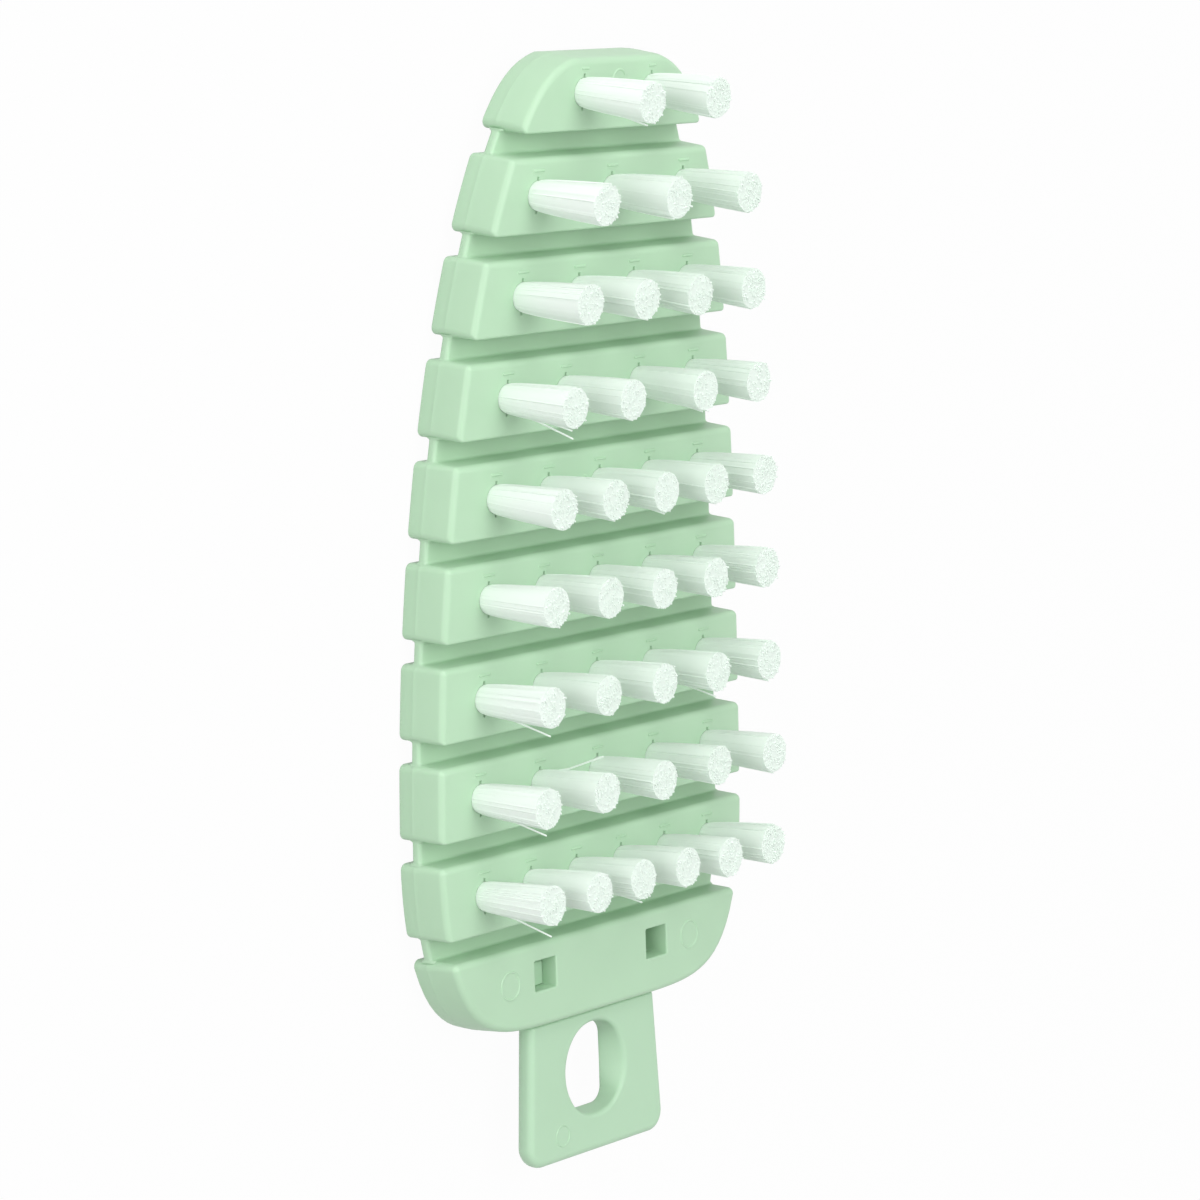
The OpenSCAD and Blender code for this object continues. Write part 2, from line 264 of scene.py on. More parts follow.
def nylon(name):
    """White translucent nylon bristles, with a colour that drifts a little from tuft to tuft, and painted
    shade on their cut ends.
    """
    n = Nodes(name)
    colour = n.ramp(n.noise(NYLON_DRIFT_SCALE, detail=1), NYLON_SHADES)
    facing = n.add("ShaderNodeSeparateXYZ")
    n.link(n.add("ShaderNodeTexCoord").outputs["Normal"], facing.inputs[0])
    # Painted shade on the cut ends, picked out by the way the faces point
    painted_end_shade = n.ramp(facing.outputs["Z"], END_PAINTED_SHADE)
    with_painted_shade = n.add("ShaderNodeVectorMath", operation="MULTIPLY")
    n.link(colour, with_painted_shade.inputs[0])
    n.link(painted_end_shade, with_painted_shade.inputs[1])
    n.link(with_painted_shade.outputs["Vector"], n.shader.inputs["Base Color"])
    n.link(n.spread(n.noise(NYLON_GLOSS_SCALE), 0.35, 0.5), n.shader.inputs["Roughness"])
    n.shader.inputs["Specular IOR Level"].default_value = 0.3
    see_through = n.add("ShaderNodeBsdfTranslucent")
    see_through.inputs["Color"].default_value = SEE_THROUGH
    mix = n.add("ShaderNodeMixShader")
    mix.inputs["Fac"].default_value = SEE_THROUGH_SHARE
    n.link(n.shader.outputs["BSDF"], mix.inputs[1])
    n.link(see_through.outputs["BSDF"], mix.inputs[2])
    n.link(mix.outputs["Shader"], n.output.inputs["Surface"])
    return n.material


STEEL_GREY = (0.56, 0.57, 0.56, 1)
DRAWN_SCALE = 3000


def staple_steel(name):
    """Flat bright wire, with lines drawn along it."""
    n = Nodes(name)
    n.shader.inputs["Base Color"].default_value = STEEL_GREY
    n.shader.inputs["Metallic"].default_value = 1.0
    n.link(n.spread(n.noise(DRAWN_SCALE, stretch=(0.1, 1, 1)), 0.25, 0.5), n.shader.inputs["Roughness"])
    return n.material


body_material = moulded_plastic("body_plastic", BODY_GREEN)
tab_material = moulded_plastic("tab_plastic", TAB_GREEN)
bristle_material = nylon("bristles")
steel_material = staple_steel("staples")


# Meshes

# Where a length counts as zero, and a distance past every point of the object
TINY = 1e-9
FAR = 9


class Shell:
    """Points and faces gathered ring by ring."""

    def __init__(self):
        self.points = []
        self.faces = []

    def ring(self, points):
        start = len(self.points)
        self.points += [tuple(p) for p in points]
        return list(range(start, len(self.points)))

    def bridge(self, low, high):
        count = len(low)
        for k in range(count):
            after = (k + 1) % count
            self.faces.append((low[k], low[after], high[after], high[k]))

    def close(self, ring):
        self.faces.append(tuple(ring))

    def stack(self, rings):
        """Joins each ring to the next one."""
        for low, high in zip(rings, rings[1:]):
            self.bridge(low, high)

    def closed_stack(self, rings):
        self.stack(rings)
        self.close(rings[0][::-1])
        self.close(rings[-1])

    def plate(self, outer, holes, up=True):
        """Fills the flat area between an outer ring and the rings of its holes."""
        rings = [outer] + holes
        used = [v for ring in rings for v in ring]
        flat = [Vector(self.points[v][:2]) for v in used]
        edges = []
        start = 0
        for ring in rings:
            edges += [(start + k, start + (k + 1) % len(ring)) for k in range(len(ring))]
            start += len(ring)
        made = delaunay_2d_cdt(flat, edges, [], 0, TINY)
        if not all(made[3]):
            crossed = [tuple(made[0][k]) for k, origin in enumerate(made[3]) if not origin]
            raise ValueError(f"outlines cross at {crossed}")
        back = [origin[0] for origin in made[3]]
        loops = [np.array([self.points[v][:2] for v in ring]) for ring in rings]
        for triangle in made[2]:
            centre = np.mean([flat[back[v]] for v in triangle], axis=0)
            if not inside(centre, loops[0]) or any(inside(centre, loop) for loop in loops[1:]):
                continue
            face = [used[back[v]] for v in triangle]
            a, b, c = (flat[back[v]] for v in triangle)
            rising = (b - a).cross(c - a) > 0
            self.faces.append(tuple(face if rising == up else face[::-1]))

    def feature(self, loops, face):
        """Adds what is cut into or stands on a flat face, and returns the ring around it on the face."""
        rings = [self.ring([(x, y, face + z) for x, y in loop]) for loop, z in loops]
        self.stack(rings)
        self.plate(rings[-1], [])
        return rings[0]

    def object(self, name, material, matrix, smooth_angle=38):
        mesh = bpy.data.meshes.new(name)
        mesh.from_pydata(self.points, [], self.faces)
        mesh.transform(matrix)
        mesh.materials.append(material)
        mesh.polygons.foreach_set("use_smooth", [True] * len(mesh.polygons))
        mesh.set_sharp_from_angle(angle=math.radians(smooth_angle))
        mesh.update()
        made = bpy.data.objects.new(name, mesh)
        bpy.context.scene.collection.objects.link(made)
        return made


def inside(point, loop):
    """True where a point lies within a closed loop."""
    x, y = point
    ahead = np.roll(loop, -1, axis=0)
    crosses = (loop[:, 1] > y) != (ahead[:, 1] > y)
    with np.errstate(divide="ignore", invalid="ignore"):
        at = loop[:, 0] + (y - loop[:, 1]) * (ahead[:, 0] - loop[:, 0]) / (ahead[:, 1] - loop[:, 1])
    return bool(np.count_nonzero(crosses & (at > x)) % 2)


def arc(centre, radius, start, end, steps):
    """Points of an arc, with its angles in degrees."""
    angles = [math.radians(start + (end - start) * k / steps) for k in range(steps + 1)]
    return [(centre[0] + radius * math.cos(a), centre[1] + radius * math.sin(a)) for a in angles]


def circle(centre, radius, count=40):
    return arc(centre, radius, 0, 360 * (count - 1) / count, count - 1)


def rounded_rectangle(centre, half_long, half_wide, radius, steps=4):
    x, y = centre
    corners = [(1, 1, 0), (-1, 1, 90), (-1, -1, 180), (1, -1, 270)]
    return [
        p
        for sx, sy, start in corners
        for p in arc(
            (x + sx * (half_long - radius), y + sy * (half_wide - radius)), radius, start, start + 90, steps
        )
    ]


# Outline of the body


def half_width(s):
    """Half width of the body at a distance s from its tip."""
    if s < WIDEST_AT:
        run = s + TIP_TRIM
        fuller = run + TIP_FULLNESS * run / FULLEST_AT * math.exp(1 - run / FULLEST_AT)
        left = max(1 - fuller / (WIDEST_AT + TIP_TRIM), 0)
        return HALF_WIDTH_MAX * (1 - left**2) ** TIP_ROUND_SHARE
    past = (s - WIDEST_AT) / (BODY_LEN - WIDEST_AT)
    return HALF_WIDTH_MAX * max(1 - past**2, 0) ** BASE_ROUND_SHARE


def station(i, x):
    return TIP_LEN - BLOCK_LEN / 2 + (i - 1) * PITCH - x


def top_end(i):
    return TIP_LEN - BLOCK_LEN / 2 if i == 1 else BLOCK_LEN / 2


def low_end(i):
    return BLOCK_LEN / 2 - BASE_LEN if i == BLOCKS else -BLOCK_LEN / 2


def side_normal(i, x):
    step = 0.01 * MM
    slope = (half_width(station(i, x + step)) - half_width(station(i, x - step))) / (2 * step)
    return Vector((-slope, 1)).normalized()


# How often a corner's place is worked out again, each time closer
CORNER_ROUNDS = 20


def block_corner(i, end, face):
    """A rounded corner between block i's end face and its +Y side: centre, side normal and side place."""
    x = end - face * CORNER_R
    for _ in range(CORNER_ROUNDS):
        normal = side_normal(i, x)
        x = end - face * CORNER_R + CORNER_R * normal.x
    side = Vector((x, half_width(station(i, x))))
    return side - CORNER_R * normal, normal, x


ARC_STEPS = 8
SIDE_POINTS = 7
ROUND_POINTS = 26
FLAT_POINTS = 6
# The tip's normals are taken this far from its flat end at the least
END_GAP = 0.02 * MM
# Step along the base's round between the points that give its normal
BASE_STEP = 0.002


def rounded_tip(reach):
    """Points and normals of the +Y half of the tip, from the middle of its flat end to the place reach."""
    end = top_end(1)
    wide = half_width(0)
    found = [(Vector((end, wide * k / FLAT_POINTS)), Vector((1, 0))) for k in range(FLAT_POINTS)]
    for k in range(ROUND_POINTS + 1):
        x = end - (end - reach) * (k / ROUND_POINTS) ** 2
        found.append((Vector((x, half_width(station(1, x)))), side_normal(1, min(x, end - END_GAP))))
    return found


def rounded_base(reach):
    """Points and normals of the +Y half of the base's end, from its middle to the place reach."""
    span = BODY_LEN - WIDEST_AT
    end = low_end(BLOCKS)
    widest = math.acos(1 - (reach - end) / span)

    def at(t):
        # t runs evenly along the width near the middle of the end
        angle = widest * max(t, 0) ** (1 / (2 * BASE_ROUND_SHARE))
        wide = HALF_WIDTH_MAX * math.sin(angle) ** (2 * BASE_ROUND_SHARE)
        return Vector((end + span * (1 - math.cos(angle)), wide))

    found = [(at(0), Vector((-1, 0)))]
    for k in range(1, ROUND_POINTS + 1):
        t = k / ROUND_POINTS
        run = at(t + BASE_STEP) - at(t - BASE_STEP)
        found.append((at(t), Vector((-run.y, run.x)).normalized()))
    return found


def block_elements(i):
    """Outline of block i as corners and side points, counter-clockwise from the top end, +Y half only."""
    elements = []
    if i == 1:
        centre, normal, x = block_corner(i, low_end(i), -1)
        elements += [("point", p, n) for p, n in rounded_tip(x)[:-1]]
        elements.append(("corner", centre, normal, Vector((-1, 0))))
    elif i == BLOCKS:
        centre, normal, x = block_corner(i, top_end(i), 1)
        elements.append(("corner", centre, Vector((1, 0)), normal))
        elements += [("point", p, n) for p, n in rounded_base(x)[-2::-1]]
    else:
        top_centre, top_normal, top_x = block_corner(i, top_end(i), 1)
        low_centre, low_normal, low_x = block_corner(i, low_end(i), -1)
        elements.append(("corner", top_centre, Vector((1, 0)), top_normal))
        for k in range(1, SIDE_POINTS + 1):
            x = top_x + (low_x - top_x) * k / (SIDE_POINTS + 1)
            elements.append(("point", Vector((x, half_width(station(i, x)))), side_normal(i, x)))
        elements.append(("corner", low_centre, low_normal, Vector((-1, 0))))
    return elements


def drawn_in(elements, inset, low_inset):
    """Closed outline at an inset, with another at the crisp end, as a list of (x, y)."""
    half = []
    for kind, at, first, *rest in elements:
        if kind == "point":
            half.append(at - inset * first)
            continue
        last = rest[0]
        radius = max(CORNER_R - inset, CORNER_MIN)
        past = inset - (CORNER_R - radius)
        past_low = low_inset - (CORNER_R - radius)
        at_low_end = last.x < -1 + TINY
        past_last = past_low if at_low_end else past
        slant = first.dot(last)
        a = (past - slant * past_last) / (1 - slant**2)
        b = (past_last - slant * past) / (1 - slant**2)
        centre = at - a * first - b * last
        start = math.atan2(first.y, first.x)
        turn = (math.atan2(last.y, last.x) - start) % math.tau
        for k in range(ARC_STEPS + 1):
            angle = start + turn * k / ARC_STEPS
            half.append(centre + radius * Vector((math.cos(angle), math.sin(angle))))
    mirrored = [Vector((p.x, -p.y)) for p in reversed(half) if abs(p.y) > TINY]
    return [(p.x, p.y) for p in half + mirrored]


EDGE_STEPS = 8
CAP_MARGIN = 0.15 * MM


def rounding(radius, depth):
    """What a rounded edge draws in at a depth under its face."""
    return 0 if depth >= radius else radius - math.sqrt(radius**2 - (radius - depth) ** 2)


def side_rings():
    """Height, inset and inset of the crisp end of the rings up a block's sides."""
    below = HINGE_Z - WEB_T / 2
    above = HINGE_Z + WEB_T / 2
    steps = [1 - math.cos(math.radians(90 * k / EDGE_STEPS)) for k in range(EDGE_STEPS + 1)]
    rings = [(0, SMALL_EDGE_R + BACK_DRAFT + CAP_MARGIN, SMALL_EDGE_R + CAP_MARGIN)]
    for depth in [SMALL_EDGE_R * step for step in steps]:
        inset = rounding(SMALL_EDGE_R, depth)
        rings.append((depth, inset + BACK_DRAFT * (below - depth) / below, inset))
    rings += [(below, 0, 0), (HINGE_Z - SEAM_W, 0, 0), (HINGE_Z, -SEAM_H, 0), (HINGE_Z + SEAM_W, 0, 0)]
    rings.append((above, 0, 0))
    for depth in [EDGE_R * step for step in reversed(steps)]:
        z = BODY_T - depth
        lean = DRAFT * (z - above) / (BODY_T - above)
        rings.append((z, rounding(EDGE_R, depth) + lean, rounding(SMALL_EDGE_R, depth)))
    rings.append((BODY_T, EDGE_R + DRAFT + CAP_MARGIN, SMALL_EDGE_R + CAP_MARGIN))
    return rings


# What is cut into or stands on a block's front face: loops that follow one another from the face

# Profiles as offset from the outline and height over the face, in millimetres
HOLE_PROFILE = [(0.34, 0), (0.24, 0), (0.14, 0.025), (0.05, 0.015), (0, -0.05)]
TICK_PROFILE = [(0.24, 0), (0.15, 0), (0, 0.2)]
RING_PROFILE = [(0.32, 0), (0.2, 0), (0.05, 0.13), (-0.05, 0.13), (-0.2, 0), (-0.32, 0)]
WINDOW_PROFILE = [(0.4, 0), (0.25, 0), (0.12, -0.03), (0.035, -0.11), (0, -0.25)]
TICK_WIDE = 0.12 * MM
WINDOW_R = 0.25 * MM
KEYHOLE_STEPS = 20


def keyhole(centre, offset):
    """The hole of a tuft with the two notches of its staple."""
    x, y = centre
    radius = BORE_R + offset
    half = NOTCH_HALF + offset
    reach = NOTCH_R + offset
    bite = math.degrees(math.asin(half / radius))
    points = [(x + reach, y - half), (x + reach, y + half)]
    points += arc(centre, radius, bite, 180 - bite, KEYHOLE_STEPS)
    points += [(x - reach, y + half), (x - reach, y - half)]
    points += arc(centre, radius, 180 + bite, 360 - bite, KEYHOLE_STEPS)
    return points


def tick(centre, half_long, offset):
    x, y = centre
    a, b = TICK_WIDE / 2 + offset, half_long + offset
    return [(x + a, y - b), (x + a, y + b), (x - a, y + b), (x - a, y - b)]


def tuft_hole(centre):
    loops = [(keyhole(centre, o * MM), z * MM) for o, z in HOLE_PROFILE]
    return loops + [(keyhole(centre, 0), -BORE_DEPTH)]


def staple_tick(centre, half_long):
    return [(tick(centre, half_long, o * MM), z * MM) for o, z in TICK_PROFILE]


def ring_mark(centre, radius, profile):
    return [(circle(centre, radius + o * MM), z * MM) for o, z in profile]


def window_pit(centre, half_long, half_wide, depth):
    loops = [
        (rounded_rectangle(centre, half_long + o * MM, half_wide + o * MM, WINDOW_R + o * MM), z * MM)
        for o, z in WINDOW_PROFILE
    ]
    return loops + [(rounded_rectangle(centre, half_long, half_wide, WINDOW_R), -depth)]


def block_mesh(i, features):
    shell = Shell()
    elements = block_elements(i)
    rings = [
        shell.ring([(x, y, z) for x, y in drawn_in(elements, inset, inset if i == BLOCKS else low_inset)])
        for z, inset, low_inset in side_rings()
    ]
    shell.plate(rings[0], [], up=False)
    shell.stack(rings)
    openings = [shell.feature(loops, BODY_T) for loops in features]
    shell.plate(rings[-1], openings)
    return shell


def row_places(i):
    width = half_width(station(i, 0))
    return sorted({round(s * share * width, 9) for share in ROW_SHARES[i - 1] for s in (-1, 1)})


# Distance of a tick from its tuft, and half its length; both are less on the narrow tip
TICK_AT = 3.4 * MM
TICK_HALF = 1.1 * MM
TIP_TICK_AT = 3.3 * MM
TIP_TICK_HALF = 0.7 * MM
WINDOW_SIDE = 12.9 * MM
WINDOW_W = 4.8 * MM
WINDOW_LEN = 4.4 * MM
WINDOW_AT = 5.5 * MM
WINDOW_DEPTH = 5.0 * MM
# Ring marks of the ejector pins: block, place along it, place across it, radius
RING_MARKS = {
    1: [(1.5 * MM, -0.2 * MM, 1.4 * MM)],
    5: [(0.6 * MM, 3.4 * MM, 0.7 * MM)],
    BLOCKS: [(0.1 * MM, 20.8 * MM, 2.0 * MM), (0.1 * MM, -20.8 * MM, 2.0 * MM)],
}


def block_name(i):
    return "tip_block" if i == 1 else "base_block" if i == BLOCKS else f"block_{i}"


def make_block(i):
    features = []
    if i < BLOCKS:
        at, half_long = (TIP_TICK_AT, TIP_TICK_HALF) if i == 1 else (TICK_AT, TICK_HALF)
        for y in row_places(i):
            features += [tuft_hole((0, y)), staple_tick((at, y), half_long)]
    else:
        for side in (-1, 1):
            centre = (low_end(i) + WINDOW_AT + WINDOW_LEN / 2, side * WINDOW_SIDE)
            features.append(window_pit(centre, WINDOW_LEN / 2, WINDOW_W / 2, WINDOW_DEPTH))
    for x, y, radius in RING_MARKS.get(i, []):
        features.append(ring_mark((x, y), radius, RING_PROFILE))
    made = block_mesh(i, features).object(f"{block_name(i)}_moulding", body_material, on_block[i])
    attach(made, bodies[i])
    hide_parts(block_name(i))


for index in range(1, BLOCKS + 1):
    make_block(index)


# Webs


def web_profile():
    """Places along a web's half length with what its fillets add to its thickness and half width."""
    half = GROOVE / 2
    # The plan fillet runs from the web's edge to the round corner of the block
    rise = WEB_INSET - WEB_CORNER_R
    reach = math.sqrt((CORNER_R + WEB_CORNER_R) ** 2 - (CORNER_R - rise) ** 2) - CORNER_R
    places = [half * share for share in WEB_STOP_SHARES]
    places += [half + WEB_SUNK * (k + 1) / WEB_SUNK_STEPS for k in range(WEB_SUNK_STEPS)]
    found = []
    for x in places:
        gap = half - x
        thick = 0
        if gap < WEB_FILLET_R:
            left = max(gap, 0)
            thick = WEB_FILLET_R - math.sqrt(WEB_FILLET_R**2 - (WEB_FILLET_R - left) ** 2)
        wide = 0
        if gap < reach:
            run = min(reach - gap, WEB_CORNER_R * ROUND_SHARE)
            wide = WEB_CORNER_R - math.sqrt(WEB_CORNER_R**2 - run**2)
        found.append((x, thick, wide))
    return found


def web_loop(half_wide, half_thick):
    """Rounded section of a web, as (y, z)."""
    radius = min(WEB_EDGE_R, half_thick * ROUND_SHARE)
    return rounded_rectangle((0, 0), half_wide, half_thick, radius, steps=5)


def make_web(i):
    profile = web_profile()
    stops = [(-x, t, w) for x, t, w in reversed(profile[1:])] + profile
    shell = Shell()
    rings = []
    for x, thick, wide in stops:
        s = station(i, low_end(i)) + GROOVE / 2 - x
        half_wide = half_width(s) - WEB_INSET + wide
        loop = web_loop(half_wide, WEB_T / 2 + thick)
        rings.append(shell.ring([(x, y, z) for y, z in loop]))
    shell.closed_stack(rings)
    made = shell.object(f"web_{i}_strip", body_material, on_hinge[i])
    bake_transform(made)
    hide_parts(f"web_{i}")


for index in range(1, BLOCKS):
    make_web(index)


# Tufts

BRISTLE_R = 0.15 * MM
BRISTLE_GAP = 0.232 * MM
BRISTLE_RINGS = 8
TUFT_SPREAD = 0.45
# The bristles part quickly at the root, and less towards the tips
FLARE_SHARE = 0.55
BRISTLE_SIDES = 4
# Shares of the length at which a bristle bends, from the tip down
BEND_SHARES = (0.62, 0.3, 0.12, 0.04)
# How much the roots, the tips across, the tips along and the spread differ from bristle to bristle
FOOT_SCATTER = 0.02 * MM
TIP_SCATTER = 0.09 * MM
END_SCATTER = 0.13 * MM
SPREAD_SCATTER = 0.03
# The fold of the bristles under the staple
FOLD_SQUEEZE = 0.78
FOLD_NARROW = 0.6
FOLD_ROUND = 0.1 * MM
FLOOR_GAP = 0.15 * MM
STAPLE_TOP = BODY_T - BORE_DEPTH + 2.0 * MM
STAPLE_LOW = BODY_T - BORE_DEPTH + 0.8 * MM
STAPLE_CLEAR = 0.33 * MM


def bristle_spots():
    """Places of the bristles on one side of the staple, as (x, y) with y above zero."""
    spots = []
    for ring in range(1, BRISTLE_RINGS + 1):
        radius = ring * BRISTLE_GAP
        count = 6 * ring
        for k in range(count // 2):
            a = math.tau * (k + 0.5) / count
            spots.append((radius * math.cos(a), radius * math.sin(a)))
    spots.append((0, BRISTLE_GAP / 2))
    return spots


def tube(shell, path, radius, turn):
    """Adds a thin closed tube along a path."""
    rings = []
    count = len(path)
    for k, p in enumerate(path):
        run = (path[min(k + 1, count - 1)] - path[max(k - 1, 0)]).normalized()
        side = run.cross(Vector((1, 0, 0)))
        side.normalize()
        other = run.cross(side)
        angles = [turn + math.tau * j / BRISTLE_SIDES for j in range(BRISTLE_SIDES)]
        rings.append(shell.ring([p + radius * (math.cos(a) * side + math.sin(a) * other) for a in angles]))
    shell.closed_stack(rings)


def bristle_half(spot, side, draw):
    """Path of half a folded bristle, from its tip down to the fold under the staple."""
    x, y = spot[0], side * spot[1]
    jitter = [draw.gauss(0, 1) for _ in range(5)]
    foot = Vector((x + FOOT_SCATTER * jitter[0], y + FOOT_SCATTER * jitter[1], BODY_T))
    grow = 1 + TUFT_SPREAD + SPREAD_SCATTER * jitter[2]
    tip = Vector((
        x * grow + TIP_SCATTER * jitter[3],
        y * grow + TIP_SCATTER * jitter[4],
        BODY_T + TUFT_LEN + END_SCATTER * draw.gauss(0, 1),
    ))
    run = tip - foot
    bent = []
    for up in BEND_SHARES:
        out = up**FLARE_SHARE
        bent.append(foot + Vector((run.x * out, run.y * out, run.z * up)))
    inner_y = side * (STAPLE_CLEAR + abs(y) * FOLD_SQUEEZE)
    deep = BODY_T - BORE_DEPTH + FLOOR_GAP
    fold = STAPLE_LOW - BRISTLE_R - (STAPLE_LOW - BRISTLE_R - deep) * abs(y) / BORE_R
    return [
        tip,
        *bent,
        foot,
        Vector((x, inner_y, STAPLE_TOP)),
        Vector((x, inner_y, STAPLE_LOW)),
        Vector((x, inner_y * FOLD_NARROW, fold + FOLD_ROUND)),
        Vector((x, 0, fold)),
    ]


CORE_SHARE = 1.05
CORE_SHORT = 0.08 * MM
CORE_LOW = BODY_T - 0.35 * MM
CORE_LEVELS = 12
# The levels lie closer together at the root, where the tuft flares most
CORE_CROWDING = 1.6
CORE_POINTS = 48


def bundle_core(shell, y, tilt):
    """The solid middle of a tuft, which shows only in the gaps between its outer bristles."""
    rings = []
    for k in range(CORE_LEVELS + 1):
        rise = (k / CORE_LEVELS) ** CORE_CROWDING
        height = CORE_LOW + rise * (BODY_T + TUFT_LEN - CORE_SHORT - CORE_LOW)
        grow = max((height - BODY_T) / TUFT_LEN, 0)
        radius = BRISTLE_RINGS * BRISTLE_GAP * CORE_SHARE * (1 + TUFT_SPREAD * grow**FLARE_SHARE)
        centre = Vector((0, y, height)) + tilt * grow
        around = circle((0, 0), radius, CORE_POINTS)
        rings.append(shell.ring([centre + Vector((x, side, 0)) for x, side in around]))
    shell.closed_stack(rings)


# How far the tufts lean, in millimetres at their tips
TILT_SCATTER = 0.12
# Bristles that stand out: row, tuft counted from the +Y side, and how much shorter each is and how far
# its tip stands from the tuft's middle line along the brush
STRAY_R = 0.13 * MM
STRAY_FOOT = 1.5 * MM
STRAY_ASIDE = 0.5 * MM
STRAY_SUNK = 0.3 * MM
STRAY_BOW_SHARE = 0.12
STRAYS = {
    1: {1: [(0.3 * MM, -3.2 * MM)]},
    4: {1: [(0, -4.2 * MM), (0.2 * MM, -3.1 * MM)], 3: [(0.1 * MM, -3.1 * MM)]},
    5: {3: [(0, -3.1 * MM)]},
    7: {1: [(0, -3.8 * MM)], 4: [(0, -3.5 * MM)]},
    8: {1: [(0.1 * MM, -3.8 * MM)], 2: [(0.4 * MM, 5.3 * MM)]},
    9: {1: [(0, -4.3 * MM)], 3: [(0.1 * MM, -3.1 * MM)]},
}


def make_tuft_row(i, strays):
    shell = Shell()
    places = row_places(i)
    for number, y in enumerate(places):
        draw = random.Random(100 * i + number)
        tilt = Vector((draw.gauss(0, TILT_SCATTER), draw.gauss(0, TILT_SCATTER), 0)) * MM
        bundle_core(shell, y, tilt)
        for spot in bristle_spots():
            one = bristle_half(spot, 1, draw)
            two = bristle_half(spot, -1, draw)
            path = one + two[-2::-1]
            path = [p + Vector((0, y, 0)) + tilt * max(0, (p.z - BODY_T) / TUFT_LEN) for p in path]
            tube(shell, path, BRISTLE_R, draw.uniform(0, math.tau))
        for low, out in strays.get(len(places) - number, []):
            start = Vector((math.copysign(STRAY_FOOT, out), y + STRAY_ASIDE, BODY_T - STRAY_SUNK))
            end = Vector((out, y + STRAY_ASIDE, BODY_T + TUFT_LEN - low))
            bow = Vector((STRAY_BOW_SHARE * (out - start.x), 0, 0))
            tube(shell, [start, start.lerp(end, 0.5) - bow, end], STRAY_R, 0)
    made = shell.object(f"tuft_row_{i}_bristles", bristle_material, on_block[i], smooth_angle=80)
    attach(made, bodies[i])
    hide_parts(f"tuft_row_{i}")


for index in range(1, BLOCKS):
    make_tuft_row(index, STRAYS.get(index, {}))
    staples = frame["nodes"][f"staple_row_{index}"].data
    staples.materials.clear()
    staples.materials.append(steel_material)


# Tab

TAB_LEN = 21 * MM
TAB_TOP_HALF = 14.4 * MM
TAB_END_HALF = 15.5 * MM
TAB_T = 3.4 * MM
TAB_Z = 2.6 * MM
TAB_CORNER_R = 3.0 * MM
SHOULDER_R = 0.8 * MM
TAB_FRONT_R = 1.0 * MM
TAB_BACK_R = 2.0 * MM
TAB_TOP_SHARE = 0.5
HOLE_W = 9.4 * MM
HOLE_H = 12.2 * MM
HOLE_CORNER_R = 2.2 * MM
HOLE_AT = 8.7 * MM
MOUTH_R = 6.9 * MM
RIM_R = 0.6 * MM
HOLE_ANGLES = 144
HOLE_LEVELS = 6
RIM_LEVELS = 8
# Height and offset of the rings that round the hole's back edge, in millimetres
HOLE_BACK = [(0, 0.35), (0, 0.2), (0.06, 0.06), (0.2, 0)]
HOLE_MARGIN = 0.12 * MM
SHOULDER_STEPS = 6
TAB_CORNER_STEPS = 12
TAB_EDGE_STEPS = 6
# Ejector mark on the tab's front: place from the base block, place across it, radius and profile
TAB_MARK_AT = 17.2 * MM
TAB_MARK_SIDE = 8.2 * MM
TAB_MARK_R = 1.5 * MM
TAB_MARK_PROFILE = [(0.22, 0), (0.1, 0), (0, 0.1), (-0.1, 0), (-0.22, 0)]

# Prongs of the tab and their barbs
PRONG_AT = 12 * MM
PRONG_W = 2.8 * MM
PRONG_T = 1.1 * MM
PRONG_LEN = 9.8 * MM
PRONG_Z = TAB_Z + 1.1 * MM
BARB_H = 0.4 * MM
BARB_AT = WINDOW_AT + 0.2 * MM
BARB_CREST = 3.2 * MM


def tab_outline(inset):
    """Outline of the tab at an inset, counter-clockwise from its +Y shoulder."""
    x0 = low_end(BLOCKS)
    x1 = x0 - TAB_LEN
    slope = math.degrees(math.atan((TAB_END_HALF - TAB_TOP_HALF) / TAB_LEN))
    small = max(SHOULDER_R - inset, CORNER_MIN)
    large = TAB_CORNER_R - inset
    top = x0 - TAB_TOP_SHARE * max(inset, 0) - small
    low = x1 + TAB_CORNER_R
    points = arc((top, TAB_TOP_HALF - inset - small), small, 0, 90 - slope, SHOULDER_STEPS)
    points += arc((low, TAB_END_HALF - TAB_CORNER_R), large, 90 - slope, 180, TAB_CORNER_STEPS)
    points += [(x, -y) for x, y in reversed(points)]
    return points


def hole_radius(angle, z):
    """Distance from the hole's middle to its wall, in a direction and at a height above the tab's back."""
    c, s = abs(math.cos(angle)), abs(math.sin(angle))
    a, b, r = HOLE_H / 2, HOLE_W / 2, HOLE_CORNER_R
    straight = min(a / c if c > TINY else FAR, b / s if s > TINY else FAR)
    x, y = straight * c, straight * s
    if x > a - r and y > b - r:
        px, py = a - r, b - r
        along_ray = px * c + py * s
        straight = along_ray + math.sqrt(max(along_ray**2 - (px * px + py * py - r * r), 0))
    return straight + (MOUTH_R - straight) * z / TAB_T + rounding(RIM_R, TAB_T - z)


def tab_side_rings():
    """Height and inset of the rings up the tab's edges, which are rounded at the back and the front."""
    steps = [math.radians(90 * k / TAB_EDGE_STEPS) for k in range(TAB_EDGE_STEPS + 1)]
    rings = [(0, TAB_BACK_R + CAP_MARGIN)]
    rings += [(TAB_BACK_R * (1 - math.cos(a)), TAB_BACK_R * (1 - math.sin(a))) for a in steps]
    for a in reversed(steps):
        rings.append((TAB_T - TAB_FRONT_R * (1 - math.cos(a)), TAB_FRONT_R * (1 - math.sin(a))))
    rings.append((TAB_T, TAB_FRONT_R + CAP_MARGIN))
    return rings


